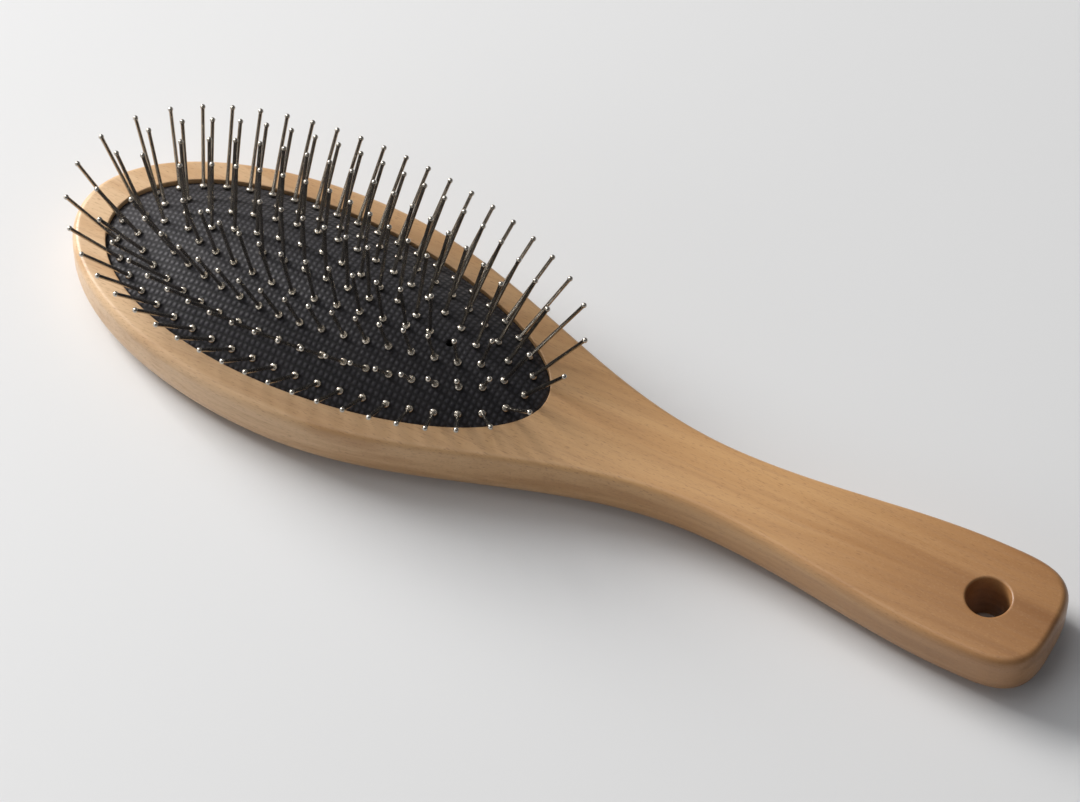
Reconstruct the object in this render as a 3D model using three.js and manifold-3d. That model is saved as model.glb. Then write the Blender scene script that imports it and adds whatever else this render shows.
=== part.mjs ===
// A pin brush with an air cushion. A one-piece wooden body carries a domed rubber pad,
// and rings of steel pins stand through the pad, each with a bead above it and a head below.
//
// Units are millimetres and +Z is up. The brush lies on its back: the origin is under the
// middle of the body, the head points towards -X and the handle towards +X.

import * as THREE from 'three';
import { mergeVertices } from 'three/addons/utils/BufferGeometryUtils.js';
import Module from 'manifold-3d';

const wasm = await Module();
wasm.setup();

// ---------------------------------------------------------------- driving dimensions

// The wooden body, seen from above: half an ellipse round the head, a waist, a flared
// handle, and a squared end with round corners.
const BODY = {
  thickness: 14.5,
  headX: -59.2,
  headLength: 61.3,
  headHalfWidth: 31.6,
  waistX: 40,
  waistHalfWidth: 9.3,
  gripX: 103,
  gripHalfWidth: 14.9,
  endLength: 17.5,
  endPower: 3.3,
};

// How far the body's edge stands in from its widest line, from the back to the top face.
const BODY_SECTION = [
  { z: 0, inset: 5.2 },
  { z: 0.8, inset: 2.8 },
  { z: 2.2, inset: 1.2 },
  { z: 4, inset: 0.3 },
  { z: 6, inset: 0 },
  { z: 12.6, inset: 0 },
  { z: 14, inset: 0.5 },
  { z: 14.5, inset: 1.6 },
];

const HANG_HOLE = { x: 104.5, radius: 4.95 };

// The oval that the cushion fills. The egg value makes it slimmer towards the handle.
const OVAL = { x: -57.4, halfLength: 54.8, halfWidth: 24.8, egg: 0.1 };
const RECESS_DEPTH = 8.5;
const GROOVE = { top: 1.5, height: 2, reach: 1.7 };

// The rubber pad: its dome over the body's top face, and the rim held in the groove.
const DOME = { edge: -1.35, height: 11.1 };
const PAD_THICKNESS = 1.5;
const GAP = 0.32;

const VENT = { x: -26.4, radius: 0.9 };

// The pins, measured along their own line from the top of the pad.
const PIN = {
  sides: 4,
  shankRadius: 0.4,
  beadRadius: 0.95,
  beadHeight: 1.1,
  length: 19.2,
  ballRadius: 0.72,
};
const HEAD_STRIP = { width: 1.3, thickness: 0.7, overrun: 0.45 };

// Rings of pins from the rim inwards. Each is an oval like the cushion's own, with a power
// that says how blunt it is. Pins lean outwards, by one angle on the long sides and by
// another at the two ends. On the long sides the lean may grow towards the handle. Every
// ring is cut into groups of pins that rock together.
const PIN_RINGS = [
  { name: 'outer', x: -58.1, halfLength: 50.8, halfWidth: 21.1, power: 2.14, egg: 0.1,
    pins: 45, start: 0.23, sideLean: 41.8, leanGrowth: 7, endLean: 33, groups: 9 },
  { name: 'second', x: -58.4, halfLength: 46.1, halfWidth: 16.2, power: 1.94, egg: 0.14,
    pins: 40, start: 0.2, sideLean: 33, leanGrowth: 0, endLean: 22, groups: 8 },
  { name: 'third', x: -58.7, halfLength: 40.7, halfWidth: 11.7, power: 1.62, egg: 0.25,
    pins: 34, start: 0.14, sideLean: 21.5, leanGrowth: 0, endLean: 20, groups: 6 },
  { name: 'inner', x: -62, halfLength: 31, halfWidth: 6.2, power: 1.34, egg: 0.18,
    pins: 24, start: 0.06, sideLean: 11.5, leanGrowth: 0, endLean: 11.5, groups: 6 },
];

// The short straight row along the middle.
const MIDDLE_ROW = { name: 'middle', firstX: -73.4, pitch: 5.38, pins: 6 };

// ---------------------------------------------------------------- materials

const beech = new THREE.MeshStandardMaterial({ color: 0xb9966d, roughness: 0.5, metalness: 0 });
const rubber = new THREE.MeshStandardMaterial({ color: 0x2b282d, roughness: 0.85, metalness: 0 });
const steel = new THREE.MeshStandardMaterial({ color: 0xb8b2a8, roughness: 0.25, metalness: 1 });

// ---------------------------------------------------------------- solids and meshes

// A closed geometry as a solid that can be joined and cut.
function toSolid(geometry) {
  const bare = geometry.clone();
  bare.deleteAttribute('normal');
  bare.deleteAttribute('uv');
  const merged = mergeVertices(bare, 1e-4);
  const vertProperties = new Float32Array(merged.attributes.position.array);
  const triVerts = new Uint32Array(merged.index.array);
  return new wasm.Manifold(new wasm.Mesh({ numProp: 3, vertProperties, triVerts }));
}

function toMesh(solid, name, material) {
  const { vertProperties, triVerts } = solid.getMesh();
  const geometry = new THREE.BufferGeometry();
  geometry.setAttribute('position', new THREE.BufferAttribute(new Float32Array(vertProperties), 3));
  geometry.setIndex(new THREE.BufferAttribute(new Uint32Array(triVerts), 1));
  geometry.computeVertexNormals();
  const mesh = new THREE.Mesh(geometry, material);
  mesh.name = name;
  return mesh;
}

// A closed skin over level rings of equal point counts, each running anticlockwise seen
// from above, from the lowest ring to the highest, with a flat cap at both ends.
function loft(rings) {
  const count = rings[0].length;
  const positions = rings.flat().flatMap((p) => [p.x, p.y, p.z]);
  const index = [];
  for (let r = 0; r + 1 < rings.length; r++) {
    for (let i = 0; i < count; i++) {
      const a = r * count + i;
      const b = r * count + ((i + 1) % count);
      index.push(a, b, b + count, a, b + count, a + count);
    }
  }
  const outline = (ring) => ring.map((p) => new THREE.Vector2(p.x, p.y));
  const last = (rings.length - 1) * count;
  for (const [a, b, c] of THREE.ShapeUtils.triangulateShape(outline(rings[0]), [])) {
    index.push(c, b, a);
  }
  for (const [a, b, c] of THREE.ShapeUtils.triangulateShape(outline(rings.at(-1)), [])) {
    index.push(last + a, last + b, last + c);
  }
  const geometry = new THREE.BufferGeometry();
  geometry.setAttribute('position', new THREE.Float32BufferAttribute(positions, 3));
  geometry.setIndex(index);
  return geometry;
}

const signedPower = (value, power) => Math.sign(value) * Math.abs(value) ** power;
const swing = (share) => (1 - Math.cos(Math.PI * share)) / 2;

// ---------------------------------------------------------------- the wooden body

function bodyHalfWidth(x) {
  if (x < BODY.waistX) {
    const share = swing((x - BODY.headX) / (BODY.waistX - BODY.headX));
    return THREE.MathUtils.lerp(BODY.headHalfWidth, BODY.waistHalfWidth, share);
  }
  const share = swing((x - BODY.waistX) / (BODY.gripX - BODY.waistX));
  return THREE.MathUtils.lerp(BODY.waistHalfWidth, BODY.gripHalfWidth, share);
}

// One level ring of the body, set in from its widest line.
function bodyRing(z, inset) {
  const headSteps = 10;
  const sideSteps = 16;
  const endSteps = 9;
  const half = [];
  for (let i = 0; i < endSteps; i++) {
    const angle = (i / endSteps) * (Math.PI / 2);
    const along = Math.cos(angle) ** (2 / BODY.endPower);
    const across = Math.sin(angle) ** (2 / BODY.endPower);
    half.push([BODY.gripX + (BODY.endLength - inset) * along, (BODY.gripHalfWidth - inset) * across]);
  }
  for (let i = 0; i < sideSteps; i++) {
    const x = THREE.MathUtils.lerp(BODY.gripX, BODY.headX, i / sideSteps);
    half.push([x, bodyHalfWidth(x) - inset]);
  }
  for (let i = 0; i <= headSteps; i++) {
    const angle = (i / headSteps) * (Math.PI / 2);
    half.push([
      BODY.headX - (BODY.headLength - inset) * Math.sin(angle),
      (BODY.headHalfWidth - inset) * Math.cos(angle),
    ]);
  }
  const mirrored = half.slice(1, -1).reverse().map(([x, y]) => [x, -y]);
  return [...half, ...mirrored].map(([x, y]) => new THREE.Vector3(x, y, z));
}

// A level ring of the cushion's oval: share scales it and reach moves it outwards.
function ovalRing(z, share, reach, steps = 40) {
  const ring = [];
  for (let i = 0; i < steps; i++) {
    const angle = (i / steps) * 2 * Math.PI;
    const along = Math.cos(angle);
    const slim = 1 - OVAL.egg * along * share;
    ring.push(new THREE.Vector3(
      OVAL.x + (OVAL.halfLength * share + reach) * along,
      (OVAL.halfWidth * share * slim + reach) * Math.sin(angle),
      z,
    ));
  }
  return ring;
}

function makeBody() {
  const top = BODY.thickness;
  const blank = toSolid(loft(BODY_SECTION.map(({ z, inset }) => bodyRing(z, inset))));
  const recess = toSolid(loft([ovalRing(top - RECESS_DEPTH, 1, 0), ovalRing(top + 1, 1, 0)]));
  const grooveTop = top - GROOVE.top;
  const groove = toSolid(loft([
    ovalRing(grooveTop - GROOVE.height, 1, GROOVE.reach),
    ovalRing(grooveTop, 1, GROOVE.reach),
  ]));
  const drill = new THREE.CylinderGeometry(HANG_HOLE.radius, HANG_HOLE.radius, top * 2, 24);
  drill.rotateX(Math.PI / 2);
  drill.translate(HANG_HOLE.x, 0, top / 2);
  return blank.subtract(recess).subtract(groove).subtract(toSolid(drill));
}

// ---------------------------------------------------------------- the domed pad

// Height of the pad's outer face at a place on the cushion.
function domeHeight(x, y) {
  const along = (x - OVAL.x) / OVAL.halfLength;
  const across = y / (OVAL.halfWidth * (1 - OVAL.egg * along));
  return BODY.thickness + DOME.edge + DOME.height * (1 - along ** 2 - across ** 2);
}

// The way the pad's outer face looks at a place on the cushion.
function domeNormal(x, y) {
  const step = 0.1;
  const riseX = (domeHeight(x + step, y) - domeHeight(x - step, y)) / (2 * step);
  const riseY = (domeHeight(x, y + step) - domeHeight(x, y - step)) / (2 * step);
  return new THREE.Vector3(-riseX, -riseY, 1).normalize();
}

// A skin from a middle point on the inner face, out to the rim, round it, and back to a
// middle point on the outer face.
function makePadBlank() {
  const levels = 5;
  const steps = 32;
  const rimTop = BODY.thickness - GROOVE.top - GAP;
  const rimBottom = BODY.thickness - GROOVE.top - GROOVE.height + GAP;
  const onDome = (share, drop) => ovalRing(0, share, -GAP, steps).map((p) => (
    new THREE.Vector3(p.x, p.y, domeHeight(p.x, p.y) - drop)
  ));
  const outer = [];
  const inner = [];
  for (let i = levels; i >= 1; i--) {
    outer.push(onDome(i / levels, 0));
  }
  for (let i = 1; i < levels; i++) {
    inner.push(onDome(i / levels, PAD_THICKNESS));
  }
  inner.push(onDome((levels - 0.45) / levels, PAD_THICKNESS));
  const rim = [
    ovalRing(rimBottom, 1, -PAD_THICKNESS - GAP, steps),
    ovalRing(rimBottom, 1, GROOVE.reach - GAP, steps),
    ovalRing(rimTop, 1, GROOVE.reach - GAP, steps),
    ovalRing(rimTop, 1, -GAP, steps),
  ];
  const rings = [...inner, ...rim, ...outer];
  const positions = rings.flat().flatMap((p) => [p.x, p.y, p.z]);
  const innerPole = positions.length / 3;
  const outerPole = innerPole + 1;
  const poleHeight = domeHeight(OVAL.x, 0);
  positions.push(OVAL.x, 0, poleHeight - PAD_THICKNESS, OVAL.x, 0, poleHeight);
  const index = [];
  for (let r = 0; r + 1 < rings.length; r++) {
    for (let i = 0; i < steps; i++) {
      const a = r * steps + i;
      const b = r * steps + ((i + 1) % steps);
      index.push(a, b, b + steps, a, b + steps, a + steps);
    }
  }
  const last = (rings.length - 1) * steps;
  for (let i = 0; i < steps; i++) {
    const next = (i + 1) % steps;
    index.push(innerPole, next, i);
    index.push(outerPole, last + i, last + next);
  }
  const geometry = new THREE.BufferGeometry();
  geometry.setAttribute('position', new THREE.Float32BufferAttribute(positions, 3));
  geometry.setIndex(index);
  return toSolid(geometry);
}

// ---------------------------------------------------------------- where the pins stand

const UP = new THREE.Vector3(0, 0, 1);

// A pin's place: its foot on the pad, its outward side, and the line that it points along.
function pinPlace(x, y, outward, leanDegrees) {
  const lean = THREE.MathUtils.degToRad(leanDegrees);
  return {
    foot: new THREE.Vector3(x, y, domeHeight(x, y)),
    outward,
    line: outward.clone().multiplyScalar(Math.sin(lean)).addScaledVector(UP, Math.cos(lean)),
  };
}

function ringPlaces(ring) {
  const curve = new THREE.Curve();
  curve.arcLengthDivisions = 1440;
  curve.getPoint = (t, target = new THREE.Vector3()) => {
    const angle = -2 * Math.PI * t;
    const along = signedPower(Math.cos(angle), 2 / ring.power);
    const across = signedPower(Math.sin(angle), 2 / ring.power);
    const slim = 1 - ring.egg * along;
    return target.set(ring.x + ring.halfLength * along, ring.halfWidth * across * slim, 0);
  };
  const nearby = 0.4 / curve.getLength();
  const places = [];
  for (let i = 0; i < ring.pins; i++) {
    const share = (i + ring.start) / ring.pins;
    const point = curve.getPointAt(share);
    const ahead = curve.getPointAt((share + nearby) % 1);
    const behind = curve.getPointAt((share - nearby + 1) % 1);
    const tangent = ahead.sub(behind).normalize();
    const along = (point.x - ring.x) / ring.halfLength;
    const outward = new THREE.Vector3(-tangent.y, tangent.x, 0);
    const sideShare = Math.abs(outward.y) ** 1.5;
    const sideLean = ring.sideLean + ring.leanGrowth * along;
    const lean = THREE.MathUtils.lerp(ring.endLean, sideLean, sideShare);
    places.push(pinPlace(point.x, point.y, outward, lean));
  }
  return places;
}

function middlePlaces() {
  const outward = new THREE.Vector3(0, 1, 0);
  return Array.from({ length: MIDDLE_ROW.pins }, (_, i) => (
    pinPlace(MIDDLE_ROW.firstX + i * MIDDLE_ROW.pitch, 0, outward, 0)
  ));
}

// Splits a list into runs whose lengths differ by one at most.
function split(list, groups) {
  return Array.from({ length: groups }, (_, g) => (
    list.slice(Math.round((g * list.length) / groups), Math.round(((g + 1) * list.length) / groups))
  ));
}

// ---------------------------------------------------------------- the pins

const headDepth = PAD_THICKNESS + 1.3 * GAP + HEAD_STRIP.thickness / 2;

function alignToLine(geometry, place) {
  const turn = new THREE.Quaternion().setFromUnitVectors(UP, place.line);
  return geometry.applyQuaternion(turn).translate(place.foot.x, place.foot.y, place.foot.z);
}

function makePin(place) {
  const profile = [
    [0, -headDepth],
    [PIN.shankRadius, -headDepth],
    [PIN.shankRadius, GAP],
    [PIN.beadRadius, GAP + PIN.beadHeight / 2],
    [PIN.shankRadius, GAP + PIN.beadHeight],
    [PIN.shankRadius, PIN.length - PIN.ballRadius],
    [PIN.ballRadius, PIN.length],
    [0, PIN.length + PIN.ballRadius],
  ];
  const pin = new THREE.LatheGeometry(profile.map(([r, z]) => new THREE.Vector2(r, z)), PIN.sides);
  pin.rotateX(Math.PI / 2);
  return toSolid(alignToLine(pin, place));
}

// The strip that joins the pins' heads under the pad, from the first head to the last.
function makeHeadStrip(places) {
  const halfWidth = HEAD_STRIP.width / 2;
  const halfThickness = HEAD_STRIP.thickness / 2;
  const centres = places.map((p) => p.foot.clone().addScaledVector(p.line, -headDepth));
  const positions = [];
  centres.forEach((centre, i) => {
    const before = centres[Math.max(i - 1, 0)];
    const after = centres[Math.min(i + 1, centres.length - 1)];
    const along = after.clone().sub(before).normalize();
    const upward = domeNormal(places[i].foot.x, places[i].foot.y);
    const side = new THREE.Vector3().crossVectors(upward, along).normalize();
    const atStart = i === 0 ? HEAD_STRIP.overrun : 0;
    const atEnd = i === centres.length - 1 ? HEAD_STRIP.overrun : 0;
    for (const [s, u] of [[-1, -1], [1, -1], [1, 1], [-1, 1]]) {
      const corner = centre.clone().addScaledVector(along, atEnd - atStart);
      corner.addScaledVector(side, s * halfWidth).addScaledVector(upward, u * halfThickness);
      positions.push(corner.x, corner.y, corner.z);
    }
  });
  const index = [2, 1, 0, 3, 2, 0];
  for (let i = 0; i + 1 < centres.length; i++) {
    for (let k = 0; k < 4; k++) {
      const a = i * 4 + k;
      const b = i * 4 + ((k + 1) % 4);
      index.push(a, b, b + 4, a, b + 4, a + 4);
    }
  }
  const last = (centres.length - 1) * 4;
  index.push(last, last + 1, last + 2, last, last + 2, last + 3);
  const geometry = new THREE.BufferGeometry();
  geometry.setAttribute('position', new THREE.Float32BufferAttribute(positions, 3));
  geometry.setIndex(index);
  return toSolid(geometry);
}

function makePinGroup(places) {
  return places.reduce((solid, place) => solid.add(makePin(place)), makeHeadStrip(places));
}

// A pin's hole through the pad, with room for the shank to rock.
function makePinHole(place) {
  const radius = (PIN.shankRadius + GAP) * Math.SQRT2;
  const hole = new THREE.CylinderGeometry(radius, radius, PAD_THICKNESS * 4, 4);
  hole.rotateX(Math.PI / 2);
  return toSolid(alignToLine(hole, place));
}

function makePad(allPlaces) {
  const vent = new THREE.CylinderGeometry(VENT.radius, VENT.radius, PAD_THICKNESS * 8, 8);
  vent.rotateX(Math.PI / 2);
  vent.translate(VENT.x, 0, domeHeight(VENT.x, 0));
  const holes = wasm.Manifold.union([toSolid(vent), ...allPlaces.map(makePinHole)]);
  return makePadBlank().subtract(holes);
}

// ---------------------------------------------------------------- the brush

const pinGroups = [];
for (const ring of PIN_RINGS) {
  split(ringPlaces(ring), ring.groups).forEach((places, i) => {
    pinGroups.push({ name: `pins_${ring.name}_${i + 1}`, places });
  });
}
pinGroups.push({ name: `pins_${MIDDLE_ROW.name}_1`, places: middlePlaces() });

const brush = new THREE.Group();
brush.add(toMesh(makeBody(), 'wood_body', beech));
brush.add(toMesh(makePad(pinGroups.flatMap((group) => group.places)), 'cushion_pad', rubber));
for (const { name, places } of pinGroups) {
  brush.add(toMesh(makePinGroup(places), name, steel));
}

export default brush;
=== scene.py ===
"""A pin brush with an air cushion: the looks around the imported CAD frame.

Everything is in the CAD's frame: the back of the body lies on z = 0, the head points towards
-X, the handle towards +X, and the pins stand up along +Z. Shapes are worked out in
millimetres and turn into metres when their meshes are made. Materials, the floor, the lights
and the camera's distance are in metres.
"""

import math

import bmesh
import bpy
import numpy as np
from mathutils import Matrix, Vector


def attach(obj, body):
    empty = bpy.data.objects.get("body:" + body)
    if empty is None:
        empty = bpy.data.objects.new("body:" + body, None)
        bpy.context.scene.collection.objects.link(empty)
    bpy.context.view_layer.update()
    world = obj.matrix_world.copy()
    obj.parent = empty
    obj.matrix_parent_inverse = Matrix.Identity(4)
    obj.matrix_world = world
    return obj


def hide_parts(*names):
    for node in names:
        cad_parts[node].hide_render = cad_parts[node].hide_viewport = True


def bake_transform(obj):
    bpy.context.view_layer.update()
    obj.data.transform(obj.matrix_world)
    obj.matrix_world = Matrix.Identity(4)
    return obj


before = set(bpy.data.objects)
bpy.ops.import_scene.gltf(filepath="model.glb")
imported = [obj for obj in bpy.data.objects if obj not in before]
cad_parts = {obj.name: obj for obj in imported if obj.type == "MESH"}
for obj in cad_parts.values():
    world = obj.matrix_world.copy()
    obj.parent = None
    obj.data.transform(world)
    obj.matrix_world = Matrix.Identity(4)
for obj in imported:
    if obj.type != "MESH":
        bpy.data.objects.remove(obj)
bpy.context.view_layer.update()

MM = 0.001

# ---------------------------------------------------------------- sizes, in millimetres

THICKNESS = 14.5
HEAD_X, HEAD_LENGTH, HEAD_HALF_WIDTH = -59.2, 61.3, 31.6
WAIST_X, WAIST_HALF_WIDTH = 40.0, 9.3
GRIP_X, GRIP_HALF_WIDTH, END_LENGTH, END_POWER = 103.0, 14.9, 17.5, 3.3

# The body's edge from the back to the top face: how far it stands in, and how high it is.
EDGE_PATH = [
    (5.9, 0.0), (5.0, 0.1), (3.6, 0.5), (2.2, 1.3), (1.1, 2.6), (0.4, 4.2), (0.07, 6.0),
    (0.0, 8.0), (0.0, 11.6), (0.12, 12.8), (0.42, 13.65), (0.9, 14.2), (1.45, 14.44), (1.95, 14.5),
]

HOLE_X, HOLE_RADIUS, HOLE_EASE = 104.5, 4.95, 0.55

# The oval that the cushion fills. The egg value makes it slimmer towards the handle.
OVAL_X, OVAL_HALF_LENGTH, OVAL_HALF_WIDTH, OVAL_EGG = -57.4, 54.8, 24.8, 0.1
RECESS_DEPTH, RECESS_EASE = 8.5, 0.25
GROOVE_TOP, GROOVE_HEIGHT, GROOVE_REACH = 1.5, 2.0, 1.7

# The pad: its dome over the body's top face, the eased edges of the flange in the groove,
# its vent, and the dip in the cloth round each pin's foot.
DOME_EDGE, DOME_HEIGHT = -1.35, 11.1
PAD_THICKNESS, PAD_GAP = 1.5, 0.3
FLANGE_EASE_ACROSS, FLANGE_EASE_UP = 0.2, 0.25
VENT_X, VENT_RADIUS = -26.4, 0.95
DIP_DEPTH, DIP_RADIUS = 0.16, 1.0

# A pin, measured along its own line from the pad's outer face. It ends a little lower than
# the CAD's pin, so that its round ball stays inside the CAD's box.
PIN_LENGTH, SHANK_RADIUS, BALL_RADIUS = 19.05, 0.44, 0.62
BEAD_RADIUS, BEAD_HALF_HEIGHT, BEAD_MIDDLE = 0.95, 0.68, 0.5

# A pin's hidden head: its gap under the pad, its size, and how far its two edges are eased
# across and along the pin.
HEAD_GAP, HEAD_RADIUS, HEAD_THICKNESS = 0.35, 0.85, 0.55
HEAD_LOWER_EASE, HEAD_UPPER_EASE = (0.15, 0.13), (0.12, 0.15)

# Rings of pins from the rim inwards. Each is an oval with a power that says how blunt it is.
# Leans are in degrees; the lean of the long sides grows towards the handle.
PIN_RINGS = {
    "outer": dict(
        middle=-58.1, half_length=50.8, half_width=21.1, power=2.14, egg=0.10,
        pins=45, start=0.23, side_lean=41.8, lean_growth=7.0, end_lean=33.0, groups=9,
    ),
    "second": dict(
        middle=-58.4, half_length=46.1, half_width=16.2, power=1.94, egg=0.14,
        pins=40, start=0.20, side_lean=33.0, lean_growth=0.0, end_lean=22.0, groups=8,
    ),
    "third": dict(
        middle=-58.7, half_length=40.7, half_width=11.7, power=1.62, egg=0.25,
        pins=34, start=0.14, side_lean=21.5, lean_growth=0.0, end_lean=20.0, groups=6,
    ),
    "inner": dict(
        middle=-62.0, half_length=31.0, half_width=6.2, power=1.34, egg=0.18,
        pins=24, start=0.06, side_lean=11.5, lean_growth=0.0, end_lean=11.5, groups=6,
    ),
}
MIDDLE_FIRST_X, MIDDLE_PITCH, MIDDLE_PINS = -73.4, 5.38, 6


# ---------------------------------------------------------------- mesh helpers

def link_piece(name, mesh, material, sharp_degrees):
    """A smooth-shaded object that shows a mesh, with hard edges only at its sharp bends."""
    mesh.shade_smooth()
    mesh.set_sharp_from_angle(angle=math.radians(sharp_degrees))
    mesh.materials.append(material)
    piece = bpy.data.objects.new(name, mesh)
    bpy.context.scene.collection.objects.link(piece)
    return piece


def new_piece(name, points, faces, material, sharp_degrees=50.0):
    """An object from points in millimetres."""
    mesh = bpy.data.meshes.new(name)
    mesh.from_pydata([tuple(p) for p in np.asarray(points) * MM], [], faces)
    mesh.validate()
    return link_piece(name, mesh, material, sharp_degrees)


def band_faces(first, second, count):
    """Quads between two rings of vertices that start at these indices."""
    faces = []
    for i in range(count):
        j = (i + 1) % count
        faces.append((first + i, first + j, second + j, second + i))
    return faces


def closed_faces(rings, count):
    """Faces over a stack of rings, closed by two pole vertices that come after the rings."""
    faces = []
    for r in range(rings - 1):
        faces += band_faces(r * count, (r + 1) * count, count)
    first_pole = rings * count
    last_pole = first_pole + 1
    last_ring = (rings - 1) * count
    for i in range(count):
        j = (i + 1) % count
        faces.append((first_pole, j, i))
        faces.append((last_pole, last_ring + i, last_ring + j))
    return faces


def spline(path, steps):
    """A smooth line through the points of path."""
    points = np.array(path, float)
    padded = np.vstack([2 * points[0] - points[1], points, 2 * points[-1] - points[-2]])
    line = []
    for i in range(1, len(padded) - 2):
        before, start, end, after = padded[i - 1:i + 3]
        for step in range(steps):
            t = step / steps
            line.append(0.5 * (
                2 * start + (end - before) * t
                + (2 * before - 5 * start + 4 * end - after) * t ** 2
                + (3 * start - before - 3 * end + after) * t ** 3
            ))
    line.append(points[-1])
    return np.array(line)


# ---------------------------------------------------------------- outlines and surfaces

def swing(share):
    """An even share turned into one that starts and ends gently."""
    return (1 - math.cos(math.pi * share)) / 2


def body_half_width(x):
    """Half the body's width from the middle of the head to the middle of the grip."""
    if x < WAIST_X:
        share = swing((x - HEAD_X) / (WAIST_X - HEAD_X))
        return HEAD_HALF_WIDTH + (WAIST_HALF_WIDTH - HEAD_HALF_WIDTH) * share
    share = swing((x - WAIST_X) / (GRIP_X - WAIST_X))
    return WAIST_HALF_WIDTH + (GRIP_HALF_WIDTH - WAIST_HALF_WIDTH) * share


def body_outline(inset):
    """The body's outline seen from above, anticlockwise, set in from its widest line."""
    head_steps, side_steps, end_steps = 44, 90, 30
    half = []
    for i in range(end_steps):
        angle = (i / end_steps) * math.pi / 2
        across = math.sin(angle) ** (2 / END_POWER)
        along = math.cos(angle) ** (2 / END_POWER)
        half.append((GRIP_X + (END_LENGTH - inset) * along, (GRIP_HALF_WIDTH - inset) * across))
    for i in range(side_steps):
        x = GRIP_X + (HEAD_X - GRIP_X) * i / side_steps
        half.append((x, body_half_width(x) - inset))
    for i in range(head_steps + 1):
        angle = (i / head_steps) * math.pi / 2
        half.append((
            HEAD_X - (HEAD_LENGTH - inset) * math.sin(angle),
            (HEAD_HALF_WIDTH - inset) * math.cos(angle),
        ))
    return half + [(x, -y) for x, y in half[-2:0:-1]]


def oval_outline(share, reach, steps):
    """The cushion's oval: share scales it and reach moves it outwards."""
    ring = []
    for i in range(steps):
        angle = 2 * math.pi * i / steps
        along = math.cos(angle)
        slim = 1 - OVAL_EGG * along * share
        ring.append((
            OVAL_X + (OVAL_HALF_LENGTH * share + reach) * along,
            (OVAL_HALF_WIDTH * share * slim + reach) * math.sin(angle),
        ))
    return ring


def circle_outline(x, radius, steps):
    angles = [2 * math.pi * i / steps for i in range(steps)]
    return [(x + radius * math.cos(a), radius * math.sin(a)) for a in angles]


def dome_height(x, y):
    """Height of the pad's outer face, without the dips round the pins."""
    along = (x - OVAL_X) / OVAL_HALF_LENGTH
    across = y / (OVAL_HALF_WIDTH * (1 - OVAL_EGG * along))
    return THICKNESS + DOME_EDGE + DOME_HEIGHT * (1 - along ** 2 - across ** 2)


# ---------------------------------------------------------------- where the pins stand

def signed_power(value, power):
    return np.sign(value) * np.abs(value) ** power


def pin_place(x, y, outward, lean_degrees):
    """A pin's foot on the pad and the line that the pin points along."""
    lean = math.radians(lean_degrees)
    line = np.array([outward[0] * math.sin(lean), outward[1] * math.sin(lean), math.cos(lean)])
    return np.array([x, y, dome_height(x, y)]), line


def ring_places(ring):
    """Places at even steps along a ring; the pins lean straight out from it."""
    curve_steps = 2880
    nearby = 0.4
    angle = -np.linspace(0, 2 * math.pi, curve_steps + 1)
    along = signed_power(np.cos(angle), 2 / ring["power"])
    across = signed_power(np.sin(angle), 2 / ring["power"])
    x = ring["middle"] + ring["half_length"] * along
    y = ring["half_width"] * across * (1 - ring["egg"] * along)
    run = np.concatenate([[0], np.cumsum(np.hypot(np.diff(x), np.diff(y)))])
    total = run[-1]

    def at(distance):
        d = distance % total
        return np.array([np.interp(d, run, x), np.interp(d, run, y)])

    places = []
    for i in range(ring["pins"]):
        here = (i + ring["start"]) / ring["pins"] * total
        point = at(here)
        tangent = at(here + nearby) - at(here - nearby)
        tangent /= np.hypot(*tangent)
        outward = (-tangent[1], tangent[0])
        side_share = abs(outward[1]) ** 1.5
        growth = ring["lean_growth"] * (point[0] - ring["middle"]) / ring["half_length"]
        side_lean = ring["side_lean"] + growth
        lean = ring["end_lean"] + (side_lean - ring["end_lean"]) * side_share
        places.append(pin_place(point[0], point[1], outward, lean))
    return places


def split(items, groups):
    """Runs whose lengths differ by one at most."""
    ends = [math.floor(g * len(items) / groups + 0.5) for g in range(groups + 1)]
    return [items[a:b] for a, b in zip(ends, ends[1:])]


pin_groups = {}
for name, ring in PIN_RINGS.items():
    for number, places in enumerate(split(ring_places(ring), ring["groups"]), 1):
        pin_groups[f"{name}_{number}"] = places
pin_groups["middle_1"] = [
    pin_place(MIDDLE_FIRST_X + MIDDLE_PITCH * i, 0.0, (0.0, 1.0), 0.0) for i in range(MIDDLE_PINS)
]
all_places = [place for places in pin_groups.values() for place in places]


# ---------------------------------------------------------------- materials

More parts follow.
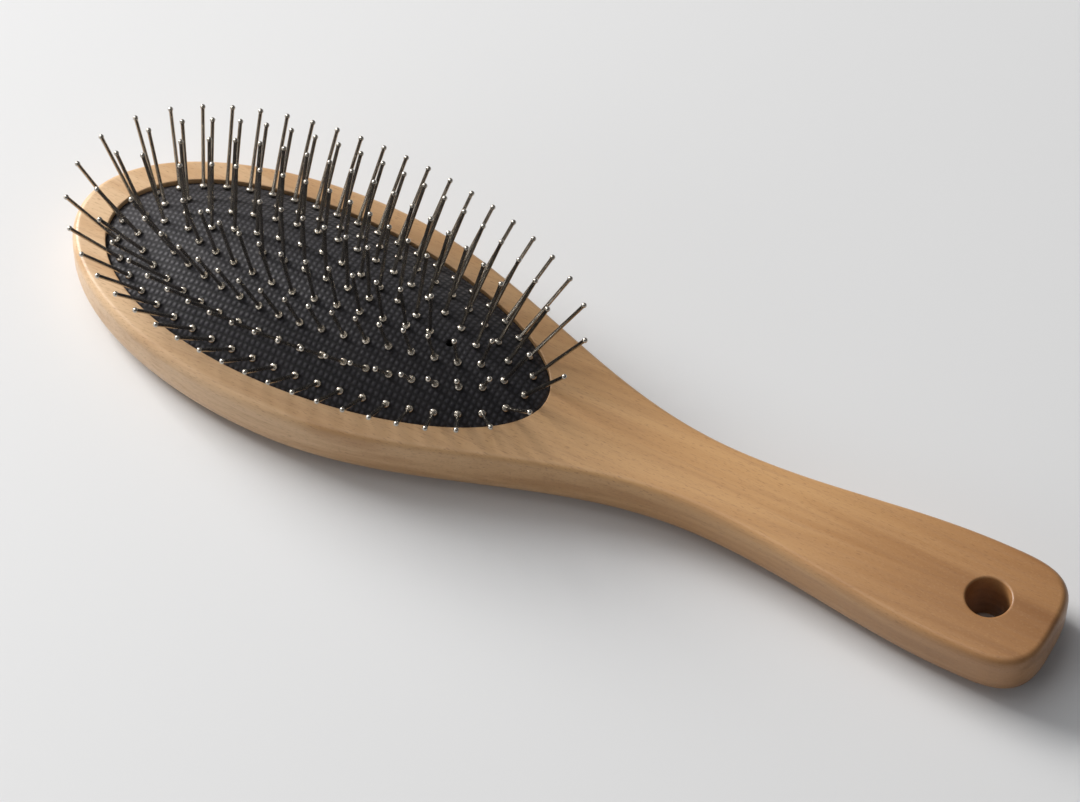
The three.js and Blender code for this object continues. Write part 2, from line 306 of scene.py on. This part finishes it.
class Nodes:
    """Short calls for building one material's node tree."""

    def __init__(self, name):
        self.material = bpy.data.materials.new(name)
        self.material.use_nodes = True
        self.tree = self.material.node_tree
        self.shader = next(n for n in self.tree.nodes if n.type == "BSDF_PRINCIPLED")
        self.place = self.new("ShaderNodeTexCoord").outputs["Object"]

    def new(self, kind):
        return self.tree.nodes.new(kind)

    def feed(self, socket, value):
        """Puts a number, a colour or another node's output into a socket."""
        if isinstance(value, (int, float)):
            socket.default_value = value
        elif isinstance(value, tuple):
            socket.default_value = (*value, 1.0)
        else:
            self.tree.links.new(value, socket)

    def axis(self, letter):
        """One coordinate of the place on the object, in metres."""
        node = self.new("ShaderNodeSeparateXYZ")
        self.feed(node.inputs["Vector"], self.place)
        return node.outputs[letter]

    def noise(self, turns, detail=3.0, roughness=0.55, distortion=0.0):
        """Noise with this many turns per metre along each axis of the object."""
        mapping = self.new("ShaderNodeMapping")
        mapping.inputs["Scale"].default_value = turns
        self.feed(mapping.inputs["Vector"], self.place)
        node = self.new("ShaderNodeTexNoise")
        node.inputs["Scale"].default_value = 1.0
        node.inputs["Detail"].default_value = detail
        node.inputs["Roughness"].default_value = roughness
        node.inputs["Distortion"].default_value = distortion
        self.feed(node.inputs["Vector"], mapping.outputs["Vector"])
        return node.outputs["Fac"]

    def ramp(self, value, low, high, to_low=0.0, to_high=1.0):
        """A smooth change from to_low to to_high as the value goes from low to high."""
        node = self.new("ShaderNodeMapRange")
        node.interpolation_type = "SMOOTHSTEP"
        node.inputs["From Min"].default_value = low
        node.inputs["From Max"].default_value = high
        node.inputs["To Min"].default_value = to_low
        node.inputs["To Max"].default_value = to_high
        self.feed(node.inputs["Value"], value)
        return node.outputs["Result"]

    def math(self, operation, *values):
        node = self.new("ShaderNodeMath")
        node.operation = operation
        for socket, value in zip(node.inputs, values):
            self.feed(socket, value)
        return node.outputs["Value"]

    def mix(self, share, a, b):
        """Colour a turning into colour b as the share goes from 0 to 1."""
        node = self.new("ShaderNodeMix")
        node.data_type = "RGBA"
        for name, kind, value in (("Factor", "VALUE", share), ("A", "RGBA", a), ("B", "RGBA", b)):
            socket = next(s for s in node.inputs if s.name == name and s.type == kind)
            self.feed(socket, value)
        return next(s for s in node.outputs if s.type == "RGBA")

    def bump(self, height, distance, strength, under=None):
        node = self.new("ShaderNodeBump")
        node.inputs["Strength"].default_value = strength
        node.inputs["Distance"].default_value = distance
        self.feed(node.inputs["Height"], height)
        if under is not None:
            self.feed(node.inputs["Normal"], under)
        return node.outputs["Normal"]

    def set(self, **values):
        """Sets the shader's sockets; an underscore stands for a space in a socket's name."""
        for name, value in values.items():
            self.feed(self.shader.inputs[name.replace("_", " ")], value)


def beech():
    """Light beech: pale growth bands, fine streaks and short brown flecks, satin lacquer."""
    m = Nodes("beech_lacquered")
    drift = m.noise((9, 30, 30), detail=2)
    bands = m.noise((7, 120, 190), detail=2.5, distortion=0.6)
    streaks = m.noise((45, 1100, 1100), detail=3, roughness=0.65)
    flecks = m.noise((620, 4200, 4200), detail=2, roughness=0.5)
    speckle = m.noise((1500, 2600, 2600), detail=2, roughness=0.6)

    # The wood gets warmer from the head to the neck, and darker towards the handle's end.
    x = m.axis("X")
    towards_neck = m.ramp(x, -0.13, 0.05)
    towards_end = m.ramp(x, 0.05, 0.12)
    pale = m.mix(towards_neck, (0.66, 0.455, 0.27), (0.57, 0.325, 0.14))
    pale = m.mix(towards_end, pale, (0.36, 0.17, 0.06))
    deep = m.mix(towards_neck, (0.53, 0.325, 0.165), (0.44, 0.225, 0.084))
    deep = m.mix(towards_end, deep, (0.255, 0.108, 0.034))

    color = m.mix(m.ramp(bands, 0.38, 0.66), pale, deep)
    color = m.mix(m.ramp(drift, 0.35, 0.7, 0.0, 0.2), color, (0.5, 0.29, 0.13))
    color = m.mix(m.ramp(streaks, 0.45, 0.75, 0.0, 0.3), color, (0.33, 0.17, 0.075))
    color = m.mix(m.ramp(flecks, 0.56, 0.72, 0.0, 0.5), color, (0.25, 0.12, 0.05))
    color = m.mix(m.ramp(speckle, 0.5, 0.8, 0.0, 0.16), color, (0.6, 0.38, 0.19))
    flecks_sunk = m.bump(flecks, 0.00004, 0.5)
    m.set(
        Base_Color=color, Roughness=m.ramp(streaks, 0.3, 0.75, 0.36, 0.5),
        Normal=m.bump(streaks, 0.00005, 0.35, flecks_sunk),
        Coat_Weight=0.22, Coat_Roughness=0.3, IOR=1.48,
    )
    return m.material


def pad_cloth():
    """Black rubber faced with a coarse square weave, its high threads painted a little grey as a
    painted sheen, with painted shade in the lines between them.
    """
    pitch_x, pitch_y = 0.00131, 0.00143
    wander_reach = 0.0006
    m = Nodes("pad_woven_black")
    wander = m.math("SUBTRACT", m.noise((160, 160, 160), detail=2), 0.5)
    shift = m.math("MULTIPLY", wander, wander_reach)

    def threads(letter, pitch):
        """A wave from 0 to 1 with one crest for each thread."""
        place = m.math("ADD", m.axis(letter), shift)
        turns = m.math("MULTIPLY", place, 2 * math.pi / pitch)
        wave = m.math("MULTIPLY_ADD", m.math("COSINE", turns), 0.5, 0.5)
        return m.math("POWER", wave, 0.7)

    knots = m.math("MULTIPLY", threads("X", pitch_x), threads("Y", pitch_y))
    fibres = m.noise((5200, 5200, 5200), detail=2)
    patches = m.noise((70, 70, 70))
    # Painted sheen and shade: the weave's high threads are coloured lighter and the lines between
    # them darker, standing in for light on the weave's relief.
    color = m.mix(m.ramp(knots, 0.05, 0.85), (0.004, 0.0035, 0.005), (0.028, 0.0255, 0.033))
    color = m.mix(m.ramp(fibres, 0.45, 0.75, 0.0, 0.35), color, (0.05, 0.048, 0.052))
    color = m.mix(m.ramp(patches, 0.35, 0.75, 0.0, 0.5), color, (0.02, 0.017, 0.02))
    height = m.math("MULTIPLY_ADD", fibres, 0.25, knots)
    m.set(
        Base_Color=color, Roughness=m.ramp(knots, 0.0, 1.0, 0.75, 0.5),
        Normal=m.bump(height, 0.00016, 1.0),
        Sheen_Weight=0.12, Sheen_Roughness=0.4, Specular_IOR_Level=0.45,
    )
    return m.material


def pin_steel():
    """Nickel-plated steel wire: bright, a little warm, with faint drawing marks."""
    m = Nodes("pin_steel")
    marks = m.noise((2500, 2500, 500), detail=2)
    tint = m.noise((120, 120, 120), detail=1)
    m.set(
        Base_Color=m.mix(m.ramp(tint, 0.3, 0.7), (0.56, 0.52, 0.46), (0.44, 0.4, 0.345)),
        Metallic=1.0, Roughness=m.ramp(marks, 0.3, 0.7, 0.16, 0.27),
        Normal=m.bump(marks, 0.00001, 0.3),
    )
    return m.material


def floor_paper():
    """Pale matt paper."""
    m = Nodes("floor_paper")
    grain = m.noise((900, 900, 900), detail=2)
    m.set(Base_Color=(0.69, 0.694, 0.7), Roughness=m.ramp(grain, 0.2, 0.8, 0.57, 0.63))
    return m.material


BEECH = beech()
PAD_CLOTH = pad_cloth()
PIN_STEEL = pin_steel()
FLOOR_PAPER = floor_paper()


# ---------------------------------------------------------------- the wooden body

def add_rings(builder, rings):
    """Adds a skin over rings of (outline, height) and gives each ring's vertices back."""
    made = [
        [builder.verts.new((x * MM, y * MM, height * MM)) for x, y in outline]
        for outline, height in rings
    ]
    for low, high in zip(made, made[1:]):
        count = len(low)
        for i in range(count):
            j = (i + 1) % count
            builder.faces.new((low[i], low[j], high[j], high[i]))
    return made


def fill_between(builder, loops, normal):
    """Fills the flat face that lies between closed loops of vertices."""
    edges = []
    for loop in loops:
        for a, b in zip(loop, loop[1:] + loop[:1]):
            edges.append(builder.edges.get((a, b)) or builder.edges.new((a, b)))
    bmesh.ops.triangle_fill(builder, use_beauty=True, edges=edges, normal=normal)


def eased_rim(steps=5):
    """Shares of a quarter round: how far out and how far up from the wall's own edge."""
    angles = [math.pi / 2 * i / steps for i in range(steps + 1)]
    return [(1 - math.cos(a), math.sin(a)) for a in angles]


def recess_wall():
    """The recess from its floor up, as (reach, height): wall, groove, wall, eased edge."""
    flat_beyond_ease = 0.3
    groove_top = THICKNESS - GROOVE_TOP
    groove_bottom = groove_top - GROOVE_HEIGHT
    wall = [
        (0.0, THICKNESS - RECESS_DEPTH), (0.0, groove_bottom), (GROOVE_REACH, groove_bottom),
        (GROOVE_REACH, groove_top), (0.0, groove_top),
    ]
    for out, up in eased_rim():
        wall.append((out * RECESS_EASE, THICKNESS - RECESS_EASE * (1 - up)))
    wall.append((RECESS_EASE + flat_beyond_ease, THICKNESS))
    return wall


def hole_wall():
    """The hanging hole from the back up, as (radius, height), eased at both faces."""
    flat_beyond_ease = 0.25
    far = HOLE_RADIUS + HOLE_EASE + flat_beyond_ease
    wall = [(far, 0.0)]
    for out, up in reversed(eased_rim()):
        wall.append((HOLE_RADIUS + out * HOLE_EASE, HOLE_EASE * (1 - up)))
    for out, up in eased_rim():
        wall.append((HOLE_RADIUS + out * HOLE_EASE, THICKNESS - HOLE_EASE * (1 - up)))
    wall.append((far, THICKNESS))
    return wall


def make_body():
    builder = bmesh.new()
    recess_steps, hole_steps = 220, 72

    # The smooth edge is kept from bulging past the body's widest line.
    edge = spline(EDGE_PATH, 4)
    skin = add_rings(builder, [(body_outline(max(inset, 0.0)), z) for inset, z in edge])
    recess = add_rings(
        builder, [(oval_outline(1.0, reach, recess_steps)[::-1], z) for reach, z in recess_wall()]
    )
    hole = add_rings(
        builder, [(circle_outline(HOLE_X, radius, hole_steps)[::-1], z) for radius, z in hole_wall()]
    )

    fill_between(builder, [skin[-1], recess[-1], hole[-1]], (0, 0, 1))
    fill_between(builder, [skin[0], hole[0]], (0, 0, -1))
    fill_between(builder, [recess[0]], (0, 0, 1))
    bmesh.ops.recalc_face_normals(builder, faces=builder.faces)
    mesh = bpy.data.meshes.new("wood_body_fine")
    builder.to_mesh(mesh)
    builder.free()
    return link_piece("wood_body_fine", mesh, BEECH, 40.0)


# ---------------------------------------------------------------- the cushion

def cut_vent(pad):
    """Cuts the vent hole straight through the pad."""
    sides, reach = 32, 4.0
    height = dome_height(VENT_X, 0)
    circle = circle_outline(VENT_X, VENT_RADIUS, sides)
    points = [(x, y, z) for z in (height - reach, height + reach) for x, y in circle]
    ends = [tuple(range(sides - 1, -1, -1)), tuple(range(sides, 2 * sides))]
    drill = new_piece("vent_drill", points, band_faces(0, sides, sides) + ends, PAD_CLOTH)
    cut = pad.modifiers.new("vent", "BOOLEAN")
    cut.object = drill
    cut.operation = "DIFFERENCE"
    cut.solver = "EXACT"
    bpy.context.view_layer.update()
    evaluated = pad.evaluated_get(bpy.context.evaluated_depsgraph_get())
    finished = bpy.data.meshes.new_from_object(evaluated)
    pad.modifiers.clear()
    pad.data = finished
    bpy.data.objects.remove(drill)


def make_pad():
    """The pad as one closed skin: inner face, rim flange, visible edge and outer face."""
    steps = 320
    outer_levels, inner_levels = 72, 24
    feet = np.array([foot for foot, line in all_places])

    def on_dome(share, drop):
        ring = np.array(oval_outline(share, -PAD_GAP * share, steps))
        height = np.array([dome_height(x, y) for x, y in ring]) - drop
        if drop == 0:
            near = np.hypot(
                ring[:, None, 0] - feet[None, :, 0], ring[:, None, 1] - feet[None, :, 1]
            ).min(1)
            height -= DIP_DEPTH * np.exp(-(near / DIP_RADIUS) ** 2)
        return np.column_stack([ring, height])

    def flat(reach, z):
        ring = np.array(oval_outline(1, reach, steps))
        return np.column_stack([ring, np.full(steps, z)])

    rim_top = THICKNESS - GROOVE_TOP - PAD_GAP
    rim_bottom = THICKNESS - GROOVE_TOP - GROOVE_HEIGHT + PAD_GAP
    rim_reach = GROOVE_REACH - PAD_GAP
    rings = [on_dome(i / inner_levels, PAD_THICKNESS) for i in range(1, inner_levels)]
    rings += [
        flat(-PAD_THICKNESS - PAD_GAP, rim_bottom),
        flat(rim_reach - FLANGE_EASE_ACROSS, rim_bottom),
        flat(rim_reach, rim_bottom + FLANGE_EASE_UP),
        flat(rim_reach, rim_top - FLANGE_EASE_UP),
        flat(rim_reach - FLANGE_EASE_ACROSS, rim_top),
        flat(-PAD_GAP, rim_top),
    ]
    rings += [on_dome(i / outer_levels, 0) for i in range(outer_levels, 0, -1)]
    pole = dome_height(OVAL_X, 0)
    points = np.vstack([*rings, (OVAL_X, 0, pole - PAD_THICKNESS), (OVAL_X, 0, pole)])
    piece = new_piece("cushion_pad_cloth", points, closed_faces(len(rings), steps), PAD_CLOTH)
    cut_vent(piece)
    return piece


# ---------------------------------------------------------------- the pins

def arc(radius_across, radius_along, middle, start, end, steps):
    """Part of an ellipse as (radius, height) pairs; angles in degrees from the lower pole."""
    angles = np.radians(np.linspace(start, end, steps + 1))
    return [(radius_across * math.sin(a), middle - radius_along * math.cos(a)) for a in angles]


def pin_profile():
    """A pin from its hidden head to its ball tip, as (radius, height over the pad) pairs."""
    head_top = -PAD_THICKNESS - HEAD_GAP
    head_bottom = head_top - HEAD_THICKNESS
    lower_across, lower_along = HEAD_LOWER_EASE
    upper_across, upper_along = HEAD_UPPER_EASE
    shank_angle = math.degrees(math.asin(SHANK_RADIUS / BALL_RADIUS))
    bead_angle = math.degrees(math.asin(SHANK_RADIUS / BEAD_RADIUS))
    profile = [
        (0.0, head_bottom), (HEAD_RADIUS - lower_across, head_bottom),
        (HEAD_RADIUS, head_bottom + lower_along), (HEAD_RADIUS, head_top - upper_along),
        (HEAD_RADIUS - upper_across, head_top), (SHANK_RADIUS, head_top),
    ]
    profile += arc(BEAD_RADIUS, BEAD_HALF_HEIGHT, BEAD_MIDDLE, bead_angle, 180 - bead_angle, 12)
    profile += arc(BALL_RADIUS, BALL_RADIUS, PIN_LENGTH, shank_angle, 180, 11)
    return np.array(profile)


def make_pins(name, places, sides=14):
    """A group of pins as one piece. Every row of the profile but the two poles is a ring."""
    profile = pin_profile()
    rings = profile[1:-1]
    angles = 2 * math.pi * np.arange(sides) / sides
    pin = np.array([
        (radius * math.cos(a), radius * math.sin(a), height)
        for radius, height in rings for a in angles
    ])
    pin = np.vstack([pin, (0, 0, profile[0, 1]), (0, 0, profile[-1, 1])])
    pin_faces = closed_faces(len(rings), sides)
    points = []
    faces = []
    for foot, line in places:
        turn = np.array(Vector((0, 0, 1)).rotation_difference(Vector(line)).to_matrix())
        start = len(points) * len(pin)
        points.append(pin @ turn.T + foot)
        faces += [tuple(start + k for k in face) for face in pin_faces]
    return new_piece(name, np.vstack(points), faces, PIN_STEEL)


# ---------------------------------------------------------------- the object

body = make_body()
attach(body, "wood")
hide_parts("wood_body")

pad = make_pad()
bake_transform(pad)
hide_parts("cushion_pad")

for group, places in pin_groups.items():
    pins = make_pins(f"pins_{group}_fine", places)
    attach(pins, group)
    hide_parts(f"pins_{group}")


# ---------------------------------------------------------------- floor, light and camera

FLOOR_HALF, FLOOR_DROP = 4.0, 0.0001

# Each light: name, place, width and height, power in watts, colour.
LIGHTS = [
    ("key", (-1.65, 0.3, 1.0), (0.9, 0.9), 53.0, (1.0, 0.985, 0.965)),
    ("top", (-0.7, 0.1, 1.9), (1.5, 1.5), 9.0, (1.0, 1.0, 1.0)),
    ("front", (-1.1, -1.4, 0.6), (1.2, 0.8), 6.0, (1.0, 1.0, 1.0)),
]
WORLD_COLOR, WORLD_STRENGTH = (0.5, 0.51, 0.53, 1.0), 0.3

# The camera's direction is in degrees, its target and its lens in millimetres.
CAMERA_AZIMUTH, CAMERA_ELEVATION, CAMERA_ROLL = 27.254, 55.241, 0.871
CAMERA_TARGET, CAMERA_DISTANCE = (-3.679, -0.479, THICKNESS), 1.10545
CAMERA_LENS, CAMERA_SENSOR = 168.26, 36.0


def make_floor():
    mesh = bpy.data.meshes.new("floor")
    corners = [(-1, -1), (1, -1), (1, 1), (-1, 1)]
    points = [(x * FLOOR_HALF, y * FLOOR_HALF, -FLOOR_DROP) for x, y in corners]
    mesh.from_pydata(points, [], [(0, 1, 2, 3)])
    mesh.materials.append(FLOOR_PAPER)
    floor = bpy.data.objects.new("floor", mesh)
    bpy.context.scene.collection.objects.link(floor)
    return floor


def area_light(name, place, size, power, color):
    """A soft light that looks at the middle of the brush."""
    data = bpy.data.lights.new(name, "AREA")
    data.shape = "RECTANGLE"
    data.size, data.size_y = size
    data.energy = power
    data.color = color
    light = bpy.data.objects.new(name, data)
    light.location = place
    light.rotation_euler = (-Vector(place)).to_track_quat("-Z", "Y").to_euler()
    bpy.context.scene.collection.objects.link(light)


def make_world():
    world = bpy.data.worlds.new("studio")
    world.use_nodes = True
    background = world.node_tree.nodes["Background"]
    background.inputs["Color"].default_value = WORLD_COLOR
    background.inputs["Strength"].default_value = WORLD_STRENGTH
    return world


def make_camera():
    azimuth, elevation, roll = np.radians([CAMERA_AZIMUTH, CAMERA_ELEVATION, CAMERA_ROLL])
    back = Vector((
        math.sin(azimuth) * math.cos(elevation),
        -math.cos(azimuth) * math.cos(elevation),
        math.sin(elevation),
    ))
    level_right = Vector((math.cos(azimuth), math.sin(azimuth), 0.0))
    right = level_right * math.cos(roll) + back.cross(level_right) * math.sin(roll)
    up = back.cross(right)
    data = bpy.data.cameras.new("camera")
    data.lens = CAMERA_LENS
    data.sensor_width = CAMERA_SENSOR
    data.clip_start = 0.05
    data.clip_end = 20.0
    camera = bpy.data.objects.new("camera", data)
    place = Vector(CAMERA_TARGET) * MM + back * CAMERA_DISTANCE
    camera.matrix_world = Matrix.Translation(place) @ Matrix((right, up, back)).transposed().to_4x4()
    bpy.context.scene.collection.objects.link(camera)
    return camera


make_floor()
for light in LIGHTS:
    area_light(*light)
bpy.context.scene.world = make_world()
bpy.context.scene.view_settings.view_transform = "Standard"
bpy.context.scene.camera = make_camera()
